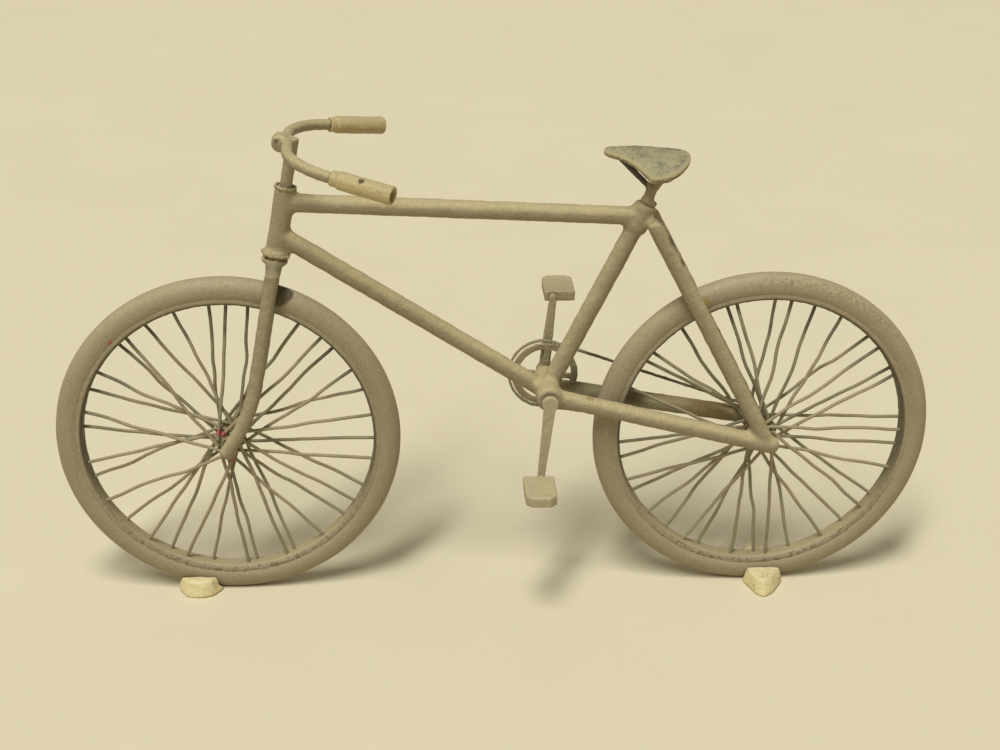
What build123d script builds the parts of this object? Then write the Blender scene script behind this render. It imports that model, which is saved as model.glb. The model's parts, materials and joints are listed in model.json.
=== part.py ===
from build123d import *
import math
import os

# A hand-finished model bicycle, drawn in millimetres.
# X points forward, Y to the rider's left, Z up; the floor is Z = 0.

# Wheels
TYRE_R = 35.0
TYRE_HALF_DEPTH = 2.75
TYRE_HALF_W = 2.3
TYRE_SIDES = 8
TYRE_SEAT_DEG = 130
WHEEL_GAP = 39.6
RIM_DEPTH = 1.05
RIM_HALF_W = 1.8
RIM_BEVEL = 0.35
HUB_FLANGE_R = 2.5
HUB_BARREL_R = 1.25
HUB_HALF_LENGTH = 3.3
FLANGE_Y = 2.4
FLANGE_T = 0.6
AXLE_R = 0.75
RUNNING_GAP = 0.05
SPOKE_R = 0.32
SPOKE_SIDES = 6
SPOKES_PER_ROW = 9
SPOKE_LEAN_DEG = 68.0
SPOKE_RIM_Y = 0.5
REAR_WHEEL_TURN_DEG = -10.0

# Steering
HEAD_ANGLE_DEG = 10.4
FORK_OFFSET = 3.85
CROWN_GAP = 1.9
CROWN_R = 1.4
CROWN_NECK_R = 1.6
FLANGE_DISC_R = 2.65
FLANGE_DISC_T = 0.9
HEAD_RISE = 2.2
HEAD_HEIGHT = 14.2
HEAD_R = 2.05
HEAD_RING_R = 2.6
HEAD_RING_T = 1.3
HEAD_CLEARANCE = 0.3
STEM_R = 1.22
STEM_RISE = 9.7
BLADE_R = 1.45
BLADE_TOP_Y = 4.35
BLADE_END_Y = 5.45
BLADE_BEND_RISE = 14.5
BLADE_TIP_FORWARD = 0.9
BLADE_TIP_DROP = 1.9
BLADE_TIP_BEVEL = 0.7
BAR_R = 1.12
BAR_DROP = 0.9
BAR_REACH = 1.0
BAR_SLOPE_DEG = 9.9
BAR_YAW_DEG = 3.0
BAR_SLIDE = 1.0
BAR_HALF_STRAIGHT = 5.0
BAR_BEND_R = 14.4
BAR_BEND_DEG = 63.5
BAR_STUB = 0.3
CLAMP_R = 1.8
CLAMP_FORWARD = 1.2
CLAMP_HALF_LENGTH = 1.7
CLAMP_BEVEL = 0.4
GRIP_R = 1.75
GRIP_LENGTH = 10.8
GRIP_COLLAR_R = 1.5
GRIP_COLLAR_LENGTH = 1.5
GRIP_BORE_R = 1.15
GRIP_BORE_DEPTH = 4.0

# Frame
TUBE_R = 1.85
BRACKET_SETBACK = 10.2
BRACKET_RISE = 10.2
BRACKET_R = 2.6
BRACKET_LEFT_Y = 6.6
BRACKET_RIGHT_Y = -6.0
BRACKET_BEVEL = 0.4
SEAT_ANGLE_DEG = 25.6
SEAT_TUBE_LENGTH = 43.4
SEAT_LUG_R = 2.35
SEAT_LUG_LENGTH = 5.8
SEAT_LUG_ROUND = 0.7
TOP_TUBE_DROP = 2.7
TOP_TUBE_HEAD_DROP = 3.2
DOWN_TUBE_HEAD_RISE = 4.6
DOWN_TUBE_FOOT_DROP = 0.8
STAY_R = 1.8
STAY_FRONT_Y = 4.2
STAY_REAR_Y = 6.6
STAY_OVERHANG = 2.7
STAY_CHAMFER = 0.9
SEAT_STAY_R = 1.7
SEAT_STAY_TOP_Y = 3.3
SEAT_STAY_BACK = 2.0
SEAT_STAY_LAP = 0.6
SEAT_STAY_BEVEL = 0.7

# Seat
SEAT_POST_R = 1.1
SEAT_POST_BACK = 0.9
SEAT_POST_RISE = 3.7
SEAT_POST_FOOT_R = 1.65
SEAT_POST_FOOT_T = 1.0
STRUT_FOOT_DROP = 0.9
SADDLE_FORWARD = 8.9
SADDLE_RISE = 11.2
SADDLE_LENGTH = 16.8
SADDLE_HALF_W = 7.3
SADDLE_NOSE_HALF_W = 1.9
SADDLE_T = 1.0
SADDLE_CROWN_R = 13.0
SADDLE_PITCH_DEG = 4.0
SADDLE_ROLL_DEG = 8.0
SADDLE_YAW_DEG = -3.0

# Cranks and chain
SPINDLE_R = 1.0
SPINDLE_SINK = 0.5
CRANK_LENGTH = 16.4
CRANK_LEAN_DEG = 5.4
CRANK_T = 1.4
CRANK_BOSS_R = 1.65
CRANK_ROOT_HALF_W = 1.2
CRANK_END_R = 0.7
CRANK_SIDE_GAP = 0.7
PEDAL_GAP = 0.4
PEDAL_LENGTH = 6.3
PEDAL_WIDTH = 9.6
PEDAL_T = 2.2
PEDAL_DROP = 0.3
PEDAL_CORNER = 1.2
PEDAL_PIN_R = 0.5
PEDAL_PIN_SHORT = 1.0
CHAINRING_GAP = 0.7
CHAINRING_T = 0.6
CHAINRING_R = 6.9
CHAINRING_BAND = 1.4
CHAINRING_ARM_W = 1.3
CHAINRING_ARMS = 4
CHAIN_GAP = 0.3
CHAIN_T = 0.5
CHAIN_W = 0.9
SPROCKET_R = 2.35
SPROCKET_T = 0.5
SPROCKET_STAY_GAP = 0.4

# Putty
PUTTY_CLEARANCE = 0.35
PUTTY_HEIGHT = 3.7

# Places worked out from the sizes above
WHEELBASE = 2 * TYRE_R + WHEEL_GAP
FRONT_HUB = Vector(WHEELBASE / 2, 0, TYRE_R)
REAR_HUB = Vector(-WHEELBASE / 2, 0, TYRE_R)
BRACKET = Vector(-BRACKET_SETBACK, 0, TYRE_R + BRACKET_RISE)
SEAT_LEAN = math.radians(SEAT_ANGLE_DEG)
SEAT_UP = Vector(-math.sin(SEAT_LEAN), 0, math.cos(SEAT_LEAN))
SEAT_TOP = BRACKET + SEAT_UP * SEAT_TUBE_LENGTH
HEAD_LEAN = math.radians(HEAD_ANGLE_DEG)
STEER_UP = Vector(-math.sin(HEAD_LEAN), 0, math.cos(HEAD_LEAN))
LEFT = Vector(0, 1, 0)


def steering_point(z):
    """The point of the steering axis at a height above the floor."""
    return FRONT_HUB - Vector(FORK_OFFSET, 0, 0) + STEER_UP * ((z - TYRE_R) / STEER_UP.Z)


CROWN = steering_point(2 * TYRE_R + CROWN_GAP)
HEAD_LOW = steering_point(CROWN.Z + HEAD_RISE)
HEAD_TOP = steering_point(HEAD_LOW.Z + HEAD_HEIGHT)
STEM_TOP = steering_point(HEAD_TOP.Z + STEM_RISE)


def rod(start, end, radius):
    """A round bar between two points."""
    span = end - start
    return Solid.make_cylinder(radius, span.length, Plane(origin=start, z_dir=span))


def turned(points):
    """A solid turned about Y from a profile of (radius, y) points."""
    return revolve(make_face(Polyline(*points, close=True)), axis=Axis.Y)


def mirrored(shape):
    return mirror(shape, about=Plane.XZ)


def largest(shape):
    return max(shape.solids(), key=lambda solid: solid.volume)


def polar(radius, degrees, y):
    angle = math.radians(degrees)
    return Vector(radius * math.cos(angle), y, radius * math.sin(angle))


def arc_points(radius, start_deg, end_deg, steps):
    """Points (x, y) evenly spaced along an arc about (0, 0)."""
    angles = [math.radians(start_deg + (end_deg - start_deg) * i / steps) for i in range(steps + 1)]
    return [(radius * math.cos(angle), radius * math.sin(angle)) for angle in angles]


pieces = {}

# Each wheel is a deep oval tyre seated on a shallow rim, laced to a flanged hub.
def tyre_profile(clearance):
    """Points (radius, y) of the tyre's oval section, a clearance off its skin."""
    depth = TYRE_HALF_DEPTH + clearance
    width = TYRE_HALF_W + clearance
    steps = arc_points(1, -TYRE_SEAT_DEG, TYRE_SEAT_DEG, TYRE_SIDES)
    return [(TYRE_R - TYRE_HALF_DEPTH + depth * x, width * y) for x, y in steps]


tyre = turned(tyre_profile(0))
rim_seat_r = tyre_profile(0)[0][0]
rim_inner_r = rim_seat_r - RIM_DEPTH
rim = turned([
    (rim_inner_r, -RIM_HALF_W + RIM_BEVEL),
    (rim_inner_r, RIM_HALF_W - RIM_BEVEL),
    (rim_inner_r + RIM_BEVEL, RIM_HALF_W),
    (rim_seat_r, RIM_HALF_W),
    (rim_seat_r, -RIM_HALF_W),
    (rim_inner_r + RIM_BEVEL, -RIM_HALF_W),
])


def hub(right_end):
    """A flanged hub, bored for its axle, that ends at a Y on the right."""
    bore_r = AXLE_R + RUNNING_GAP
    flange_in = FLANGE_Y - FLANGE_T / 2
    flange_out = FLANGE_Y + FLANGE_T / 2
    return turned([
        (bore_r, right_end),
        (HUB_BARREL_R, right_end),
        (HUB_BARREL_R, -flange_out),
        (HUB_FLANGE_R, -flange_out),
        (HUB_FLANGE_R, -flange_in),
        (HUB_BARREL_R, -flange_in),
        (HUB_BARREL_R, flange_in),
        (HUB_FLANGE_R, flange_in),
        (HUB_FLANGE_R, flange_out),
        (HUB_BARREL_R, flange_out),
        (HUB_BARREL_R, HUB_HALF_LENGTH),
        (bore_r, HUB_HALF_LENGTH),
    ])


front_hub = hub(-HUB_HALF_LENGTH)

# Spoke rows: the side of the hub, the face of its flange, the way the row
# leans and the angle of its first hole in the rim. The four rows lie in
# uneven groups of four, as they were drilled.
SPOKE_ROWS = [
    {"side": -1, "face": 1, "lean": 1, "first": 2.5},
    {"side": 1, "face": 1, "lean": 1, "first": 10.5},
    {"side": -1, "face": -1, "lean": -1, "first": 20.0},
    {"side": 1, "face": -1, "lean": -1, "first": 28.0},
]
spoke_apothem = SPOKE_R * math.cos(math.pi / SPOKE_SIDES)
spoke_root_r = HUB_FLANGE_R - SPOKE_R
spoke_list = []
for row in SPOKE_ROWS:
    root_y = row["side"] * (FLANGE_Y + row["face"] * (FLANGE_T / 2 + spoke_apothem))
    for number in range(SPOKES_PER_ROW):
        rim_angle = row["first"] + number * 360 / SPOKES_PER_ROW
        hub_angle = rim_angle - row["lean"] * SPOKE_LEAN_DEG
        root = polar(spoke_root_r, hub_angle, root_y)
        tip = polar(rim_inner_r + SPOKE_R, rim_angle, row["side"] * SPOKE_RIM_Y)
        wire = Plane(origin=root, x_dir=LEFT.cross(tip - root), z_dir=tip - root)
        wire *= RegularPolygon(SPOKE_R, SPOKE_SIDES, rotation=30)
        spoke_list.append(largest(extrude(wire, (tip - root).length) - front_hub - rim))
spokes = Compound(children=spoke_list)

stay_inner_y = STAY_REAR_Y - STAY_R
sprocket_outer = -(stay_inner_y - SPROCKET_STAY_GAP)
sprocket_inner = sprocket_outer + SPROCKET_T
sprocket = turned([
    (AXLE_R + RUNNING_GAP, sprocket_inner),
    (SPROCKET_R, sprocket_inner),
    (SPROCKET_R, sprocket_outer),
    (AXLE_R + RUNNING_GAP, sprocket_outer),
])
WHEELS = [
    {"name": "front", "at": FRONT_HUB, "turn": 0.0, "hub": front_hub},
    {"name": "rear", "at": REAR_HUB, "turn": REAR_WHEEL_TURN_DEG, "hub": hub(sprocket_inner)},
]
for wheel in WHEELS:
    place = Pos(*wheel["at"]) * Rot(0, wheel["turn"], 0)
    pieces[wheel["name"] + "_tyre"] = place * tyre
    pieces[wheel["name"] + "_rim"] = place * rim
    pieces[wheel["name"] + "_spokes"] = place * spokes
    pieces[wheel["name"] + "_hub"] = place * wheel["hub"]
pieces["rear_sprocket"] = Pos(*REAR_HUB) * sprocket

# The head tube stands on a wider lower ring and holds the fork's stem.
head_outside = rod(HEAD_LOW, HEAD_TOP, HEAD_R)
head_outside += rod(HEAD_LOW, HEAD_LOW + STEER_UP * HEAD_RING_T, HEAD_RING_R)
head_bore = rod(HEAD_LOW - STEER_UP, HEAD_TOP + STEER_UP, STEM_R + RUNNING_GAP)
pieces["head_tube"] = head_outside - head_bore

# The bottom bracket is a short cross tube bored for the spindle.
bracket_left = BRACKET + LEFT * BRACKET_LEFT_Y
bracket_right = BRACKET + LEFT * BRACKET_RIGHT_Y
bracket_outside = rod(bracket_right, bracket_left, BRACKET_R)
bracket_outside = chamfer(bracket_outside.edges().filter_by(GeomType.CIRCLE), BRACKET_BEVEL)
spindle_bore = rod(bracket_right - LEFT, bracket_left + LEFT, SPINDLE_R + RUNNING_GAP)
pieces["bottom_bracket"] = bracket_outside - spindle_bore

# The main tubes meet at the bracket, the head tube and the rounded seat lug.
seat_lug = rod(SEAT_TOP - SEAT_UP * SEAT_LUG_LENGTH, SEAT_TOP, SEAT_LUG_R)
seat_lug = fillet(seat_lug.edges().filter_by(GeomType.CIRCLE), SEAT_LUG_ROUND)
seat_tube = rod(BRACKET, SEAT_TOP - SEAT_UP * SEAT_LUG_ROUND, TUBE_R) + seat_lug
pieces["seat_tube"] = seat_tube - bracket_outside
top_tube_rear = SEAT_TOP - SEAT_UP * TOP_TUBE_DROP
top_tube_front = steering_point(HEAD_TOP.Z - TOP_TUBE_HEAD_DROP)
top_tube = rod(top_tube_rear, top_tube_front, TUBE_R) - head_outside - head_bore - seat_tube
pieces["top_tube"] = largest(top_tube)
down_tube_front = steering_point(HEAD_LOW.Z + DOWN_TUBE_HEAD_RISE)
down_tube = rod(BRACKET - Vector(0, 0, DOWN_TUBE_FOOT_DROP), down_tube_front, TUBE_R) - head_outside - head_bore
pieces["down_tube"] = largest(down_tube - bracket_outside - seat_tube)

# Chainstays and seatstays carry the rear axle. Each chainstay is cut off with
# a bevelled corner, and the square end of a seatstay laps on top of it. The
# right chainstay is set lower on the bracket, by a drop.
rear_axle = rod(REAR_HUB - LEFT * STAY_REAR_Y, REAR_HUB + LEFT * STAY_REAR_Y, AXLE_R)
pieces["rear_axle"] = rear_axle
SIDES = [
    {"name": "left", "sign": 1, "drop": 0.0},
    {"name": "right", "sign": -1, "drop": 1.4},
]
seat_stays = {}
for side in SIDES:
    sign = side["sign"]
    stay_front = BRACKET + Vector(0, sign * STAY_FRONT_Y, -side["drop"])
    stay_rear = REAR_HUB + LEFT * (sign * STAY_REAR_Y)
    stay_dir = (stay_rear - stay_front).normalized()
    stay_end = stay_rear + stay_dir * STAY_OVERHANG
    chainstay = rod(stay_front, stay_end, STAY_R)
    chainstay = chamfer(chainstay.edges().filter_by(GeomType.CIRCLE).sort_by(Axis.X)[0], STAY_CHAMFER)
    pieces["chainstay_" + side["name"]] = largest(chainstay - bracket_outside - rear_axle - spindle_bore)
    seat_stay_top = top_tube_rear + Vector(-SEAT_STAY_BACK, sign * SEAT_STAY_TOP_Y, 0)
    seat_stay = rod(seat_stay_top, stay_rear + Vector(0, 0, SEAT_STAY_LAP), SEAT_STAY_R)
    seat_stay = chamfer(seat_stay.edges().filter_by(GeomType.CIRCLE).sort_by(Axis.Z)[-1], SEAT_STAY_BEVEL)
    seat_stays[side["name"]] = seat_stay
    pieces["seatstay_" + side["name"]] = largest(seat_stay - seat_tube - chainstay - rear_axle)

# The saddle is a thin crowned shell: an outline of four arcs cut from a wide
# tube. It sits nose-up, rolled to the left and turned a little to the right.
def right_of(point):
    return (point[0], -point[1])


nose = (-0.1 * SADDLE_LENGTH, SADDLE_NOSE_HALF_W)
waist = (-0.33 * SADDLE_LENGTH, 0.45 * (SADDLE_NOSE_HALF_W + SADDLE_HALF_W))
flare = (-0.53 * SADDLE_LENGTH, SADDLE_HALF_W)
saddle_edge = ThreePointArc(right_of(nose), (0, 0), nose)
saddle_edge += ThreePointArc(nose, waist, flare)
saddle_edge += ThreePointArc(flare, (-SADDLE_LENGTH, 0), right_of(flare))
saddle_edge += ThreePointArc(right_of(flare), right_of(waist), right_of(nose))
crown_back = Vector(-SADDLE_LENGTH - 1, 0, -SADDLE_CROWN_R)
crown_front = Vector(1, 0, -SADDLE_CROWN_R)
saddle_shell = rod(crown_back, crown_front, SADDLE_CROWN_R)
saddle_shell -= rod(crown_back, crown_front, SADDLE_CROWN_R - SADDLE_T)
saddle_shell &= extrude(make_face(saddle_edge), -SADDLE_CROWN_R)
saddle_nose = SEAT_TOP + Vector(SADDLE_FORWARD, 0, SADDLE_RISE)
saddle_place = Pos(*saddle_nose) * Rot(0, 0, SADDLE_YAW_DEG)
saddle_place *= Rot(0, -SADDLE_PITCH_DEG, 0) * Rot(-SADDLE_ROLL_DEG, 0, 0)
saddle = saddle_place * saddle_shell
pieces["saddle"] = saddle

# A short seat post forks into a thin strut under the nose and a stout one
# under the back of the saddle.
post_top = SEAT_TOP + Vector(-SEAT_POST_BACK, 0, SEAT_POST_RISE)
seat_post = rod(SEAT_TOP - SEAT_UP, post_top, SEAT_POST_R)
seat_post += rod(SEAT_TOP - SEAT_UP, SEAT_TOP + SEAT_UP * SEAT_POST_FOOT_T, SEAT_POST_FOOT_R)
STRUTS = [
    {"forward": -0.12, "radius": 0.6},
    {"forward": -0.86, "radius": 0.85},
]
strut_foot = post_top - Vector(0, 0, STRUT_FOOT_DROP)
for strut in STRUTS:
    strut_end = (saddle_place * Pos(strut["forward"] * SADDLE_LENGTH, 0, -SADDLE_T / 2)).position
    seat_post += rod(strut_foot, strut_end, strut["radius"])
pieces["seat_post"] = largest(seat_post - seat_tube - saddle)

# The fork: a flanged crown below the head tube, two raked blades with round
# tips and an axle through their ends.
blade_root = CROWN + LEFT * BLADE_TOP_Y
blade_tip = FRONT_HUB + Vector(BLADE_TIP_FORWARD, BLADE_END_Y, -BLADE_TIP_DROP)
bend_share = 1 - BLADE_BEND_RISE / (CROWN.Z - TYRE_R)
bend_y = BLADE_TOP_Y + (BLADE_END_Y - BLADE_TOP_Y) * bend_share
blade_bend = steering_point(TYRE_R + BLADE_BEND_RISE) + LEFT * bend_y
blade_path = Line(blade_root, blade_bend)
blade_path += TangentArc(blade_bend, blade_tip, tangent=blade_bend - blade_root)
blade_section = Plane(origin=blade_root, x_dir=LEFT, z_dir=blade_bend - blade_root) * Circle(BLADE_R)
blade = sweep(blade_section, path=blade_path)
blade = chamfer(blade.edges().filter_by(GeomType.CIRCLE).sort_by(Axis.Z)[0], BLADE_TIP_BEVEL)
front_axle = rod(FRONT_HUB - LEFT * BLADE_END_Y, FRONT_HUB + LEFT * BLADE_END_Y, AXLE_R)
pieces["front_axle"] = front_axle
left_blade = blade - front_axle
pieces["fork_blade_left"] = left_blade
pieces["fork_blade_right"] = mirrored(left_blade)
disc_top = HEAD_LOW - STEER_UP * HEAD_CLEARANCE
cross_drop = STEER_UP * CROWN_R
crown = rod(blade_root - cross_drop, blade_root - LEFT * (2 * BLADE_TOP_Y) - cross_drop, CROWN_R)
crown += rod(CROWN - cross_drop, disc_top, CROWN_NECK_R)
crown += rod(disc_top - STEER_UP * FLANGE_DISC_T, disc_top, FLANGE_DISC_R)
pieces["fork_crown"] = largest(crown - blade - mirrored(blade))

# The stem rises through the head tube and clamps one bowed bar at its top.
# The bar is drawn flat in a plane that slopes down to the rear, then turned a
# little to the left and pushed through its clamp, as it was set.
bar_centre = steering_point(STEM_TOP.Z - BAR_DROP) + Vector(BAR_REACH, 0, 0)
slope = math.radians(BAR_SLOPE_DEG)
bar_back = Vector(-math.cos(slope), 0, -math.sin(slope))
bend = math.radians(BAR_BEND_DEG)
bar_bow_end = (
    bar_centre
    + LEFT * (BAR_HALF_STRAIGHT + BAR_BEND_R * math.sin(bend))
    + bar_back * (BAR_BEND_R * (1 - math.cos(bend)))
)
grip_dir = LEFT * math.cos(bend) + bar_back * math.sin(bend)
grip_front = bar_bow_end + grip_dir * BAR_STUB
bar_straight_end = bar_centre + LEFT * BAR_HALF_STRAIGHT
half_path = Line(bar_centre, bar_straight_end)
half_path += TangentArc(bar_straight_end, bar_bow_end, tangent=LEFT)
half_path += Line(bar_bow_end, grip_front)
half_bar = sweep(Plane(origin=bar_centre, z_dir=LEFT) * Circle(BAR_R), path=half_path)
bar_turned = Pos(*bar_centre) * Rot(0, 0, BAR_YAW_DEG) * Pos(*(bar_centre * -1))
bar_set = bar_turned * Pos(0, BAR_SLIDE, 0)
handlebar = bar_set * (half_bar + mirrored(half_bar))
pieces["handlebar"] = handlebar
clamp_centre = bar_centre + Vector(CLAMP_FORWARD, 0, 0)
clamp = rod(clamp_centre - LEFT * CLAMP_HALF_LENGTH, clamp_centre + LEFT * CLAMP_HALF_LENGTH, CLAMP_R)
clamp = bar_turned * chamfer(clamp.edges().filter_by(GeomType.CIRCLE), CLAMP_BEVEL)
stem = rod(disc_top, STEM_TOP, STEM_R) + clamp
pieces["stem"] = stem - handlebar

# Each grip is a tube with a stepped collar in front and an open rear end.
collar_end = grip_front + grip_dir * GRIP_COLLAR_LENGTH
grip_end = collar_end + grip_dir * GRIP_LENGTH
grip = rod(grip_front, collar_end, GRIP_COLLAR_R) + rod(collar_end, grip_end, GRIP_R)
grip = grip - rod(grip_end - grip_dir * GRIP_BORE_DEPTH, grip_end, GRIP_BORE_R)
pieces["grip_left"] = bar_set * grip
pieces["grip_right"] = bar_set * mirrored(grip)

# Two cranks and a chainring with four arms turn on one spindle.
crank_lean = math.radians(CRANK_LEAN_DEG)
crank_down = Vector(math.sin(crank_lean), 0, -math.cos(crank_lean)) * CRANK_LENGTH
left_crank_y = BRACKET_LEFT_Y + CRANK_SIDE_GAP
chainring_inner_y = BRACKET_RIGHT_Y - CHAINRING_GAP
chainring_y = chainring_inner_y - CHAINRING_T / 2
right_crank_y = chainring_inner_y - CHAINRING_T - CRANK_SIDE_GAP - CHAIN_GAP
spindle_right = BRACKET + LEFT * (right_crank_y - CRANK_T + SPINDLE_SINK)
spindle_left = BRACKET + LEFT * (left_crank_y + CRANK_T - SPINDLE_SINK)
spindle = rod(spindle_right, spindle_left, SPINDLE_R)
pieces["crank_spindle"] = spindle

ring_half_t = CHAINRING_T / 2
chainring = turned([
    (CHAINRING_R - CHAINRING_BAND, -ring_half_t),
    (CHAINRING_R, -ring_half_t),
    (CHAINRING_R, ring_half_t),
    (CHAINRING_R - CHAINRING_BAND, ring_half_t),
])
arm_reach = CHAINRING_R - CHAINRING_BAND / 2
for number in range(CHAINRING_ARMS):
    arm = Pos(arm_reach / 2, 0, 0) * Box(arm_reach, CHAINRING_T, CHAINRING_ARM_W)
    chainring += Rot(0, number * 360 / CHAINRING_ARMS, 0) * arm
chainring = Pos(BRACKET.X, chainring_y, BRACKET.Z) * Rot(0, -CRANK_LEAN_DEG, 0) * chainring
boss_inner = BRACKET + LEFT * (BRACKET_RIGHT_Y - CHAINRING_GAP / 2)
chainring += rod(BRACKET + LEFT * right_crank_y, boss_inner, CRANK_BOSS_R)
pieces["chainring"] = chainring - spindle


def crank_arm(reach, start_y):
    """A tapered arm with a round boss, from start_y outward to the left."""
    plane = Plane(origin=(BRACKET.X, start_y, BRACKET.Z), x_dir=reach, z_dir=(0, 1, 0))
    taper = make_face(Polyline(
        (0, CRANK_ROOT_HALF_W),
        (0, -CRANK_ROOT_HALF_W),
        (CRANK_LENGTH, -CRANK_END_R),
        (CRANK_LENGTH, CRANK_END_R),
        close=True,
    ))
    outline = taper + Circle(CRANK_BOSS_R) + Pos(CRANK_LENGTH, 0) * Circle(CRANK_END_R)
    return extrude(plane * outline, CRANK_T)


# Each pedal block hangs a little below its pin and off it, by a shift forward.
CRANKS = [
    {"name": "left", "sign": 1, "reach": crank_down, "inner_y": left_crank_y, "shift": 0.6},
    {"name": "right", "sign": -1, "reach": crank_down * -1, "inner_y": right_crank_y, "shift": -1.5},
]
for row in CRANKS:
    outward = LEFT * row["sign"]
    outer_y = row["inner_y"] + row["sign"] * CRANK_T
    arm = crank_arm(row["reach"], min(row["inner_y"], outer_y)) - spindle
    pin_root = BRACKET + row["reach"] + LEFT * outer_y
    pedal_inner = pin_root + outward * PEDAL_GAP
    pin_end = pedal_inner + outward * (PEDAL_WIDTH - PEDAL_PIN_SHORT)
    pieces["crank_" + row["name"]] = arm + rod(pin_root, pin_end, PEDAL_PIN_R)
    block = Box(PEDAL_LENGTH, PEDAL_WIDTH, PEDAL_T)
    upright_edges = block.edges().filter_by(Axis.Z).sort_by(Axis.Y, reverse=row["sign"] > 0)
    pedal_centre = pedal_inner + Vector(row["shift"], row["sign"] * PEDAL_WIDTH / 2, -PEDAL_DROP)
    block = Pos(*pedal_centre) * chamfer(upright_edges[:2], PEDAL_CORNER)
    bore_end = pin_end + outward * RUNNING_GAP
    pieces["pedal_" + row["name"]] = block - rod(pin_root, bore_end, PEDAL_PIN_R + RUNNING_GAP)

# The chain is a thin strip round the chainring and the rear sprocket, drawn
# flat from the sprocket and painted fast to the right seatstay.
chain_front_r = CHAINRING_R + CHAIN_GAP + CHAIN_T / 2
chain_rear_r = SPROCKET_R + CHAIN_GAP + CHAIN_T / 2
chain_rear = REAR_HUB + LEFT * (sprocket_outer + SPROCKET_T / 4)
chain_along = BRACKET + LEFT * chainring_y - chain_rear
chain_length = chain_along.length
wrap_cos = (chain_front_r - chain_rear_r) / chain_length
wrap_sin = math.sqrt(1 - wrap_cos**2)


def belt_line(offset):
    """The flat area inside the chain's line, moved outward by an offset."""
    front_r = chain_front_r + offset
    rear_r = chain_rear_r + offset
    front_up = (chain_length + front_r * wrap_cos, front_r * wrap_sin)
    rear_up = (rear_r * wrap_cos, rear_r * wrap_sin)
    edge = Line(rear_up, front_up)
    edge += ThreePointArc(front_up, (chain_length + front_r, 0), right_of(front_up))
    edge += Line(right_of(front_up), right_of(rear_up))
    edge += ThreePointArc(right_of(rear_up), (-rear_r, 0), rear_up)
    return make_face(edge)


chain_side = LEFT - chain_along * (LEFT.dot(chain_along) / chain_length**2)
chain_plane = Plane(origin=chain_rear, x_dir=chain_along, z_dir=chain_side)
chain_flat = belt_line(CHAIN_T / 2) - belt_line(-CHAIN_T / 2)
chain = extrude(chain_plane * chain_flat, CHAIN_W / 2, both=True) - seat_stays["right"]
pieces["chain"] = largest(chain)

# A lump of putty is pressed round the foot of each tyre. Its left half is
# given as places (along, out) on the floor, from the hub's foot.
PUTTY = [
    {
        "node": "front_putty",
        "hub": FRONT_HUB,
        "floor": [(2.2, 0), (2.9, 2.6), (4.8, 5.2), (7.0, 6.0), (10.6, 5.3), (12.4, 2.6), (12.4, 0)],
    },
    {
        "node": "rear_putty",
        "hub": REAR_HUB,
        "floor": [(1.9, 0), (1.7, 3.4), (0.1, 8.1), (-1.6, 9.8), (-3.8, 8.4), (-6.8, 3.6), (-7.2, 0)],
    },
]
PUTTY_SHRINK = 0.84
tyre_room = turned(tyre_profile(PUTTY_CLEARANCE))
for row in PUTTY:
    half = row["floor"]
    outline = half + [right_of(point) for point in reversed(half[1:-1])]
    middle = sum(x for x, _ in outline) / len(outline)
    top = [(middle + (x - middle) * PUTTY_SHRINK, y * PUTTY_SHRINK) for x, y in outline]
    low_face = make_face(Polyline(*outline, close=True))
    high_face = Pos(0, 0, PUTTY_HEIGHT) * make_face(Polyline(*top, close=True))
    lump = Pos(row["hub"].X, 0, 0) * loft([low_face, high_face], ruled=True)
    pieces[row["node"]] = largest(lump - Pos(*row["hub"]) * tyre_room)

os.makedirs("parts", exist_ok=True)
for node, shape in pieces.items():
    export_step(Compound(children=list(shape.solids())), "parts/" + node + ".step")
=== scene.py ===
import bmesh
import bpy
import json
import math
import numpy as np
from mathutils import Matrix, Vector, kdtree, noise


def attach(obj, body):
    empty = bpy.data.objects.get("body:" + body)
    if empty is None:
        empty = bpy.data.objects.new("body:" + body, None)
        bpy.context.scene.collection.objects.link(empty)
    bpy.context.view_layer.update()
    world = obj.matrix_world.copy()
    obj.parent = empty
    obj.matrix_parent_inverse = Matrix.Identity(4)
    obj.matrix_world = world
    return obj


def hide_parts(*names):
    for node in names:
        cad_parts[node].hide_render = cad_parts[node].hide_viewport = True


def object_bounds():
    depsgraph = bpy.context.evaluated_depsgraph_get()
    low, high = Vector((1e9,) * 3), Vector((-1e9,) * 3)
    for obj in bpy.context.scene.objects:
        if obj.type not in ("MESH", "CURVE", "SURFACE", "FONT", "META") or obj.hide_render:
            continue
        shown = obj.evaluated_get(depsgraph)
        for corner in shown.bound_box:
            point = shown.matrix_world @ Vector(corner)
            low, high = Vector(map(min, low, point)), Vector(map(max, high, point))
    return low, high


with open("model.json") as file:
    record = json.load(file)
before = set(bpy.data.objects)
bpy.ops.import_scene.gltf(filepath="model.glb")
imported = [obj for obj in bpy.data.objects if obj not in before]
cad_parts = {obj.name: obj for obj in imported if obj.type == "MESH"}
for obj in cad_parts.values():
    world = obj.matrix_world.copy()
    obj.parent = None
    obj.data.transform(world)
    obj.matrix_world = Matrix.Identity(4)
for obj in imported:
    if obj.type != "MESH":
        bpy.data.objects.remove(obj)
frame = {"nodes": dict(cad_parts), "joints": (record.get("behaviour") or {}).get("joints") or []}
cad_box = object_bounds()

# Frame. Rods butted at a head tube, a seat lug and a bracket shell, soldered
# together, then brushed all over with thick khaki paint that fills the corners.
MM = 0.001
scene = bpy.context.scene
scene.view_settings.view_transform = "Standard"


def tone(red, green, blue):
    """A colour as the eye reads it, 0 to 255, turned to what a shader takes."""
    shares = [value / 255 for value in (red, green, blue)]
    return [s / 12.92 if s <= 0.04045 else ((s + 0.055) / 1.055) ** 2.4 for s in shares] + [1.0]


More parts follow.
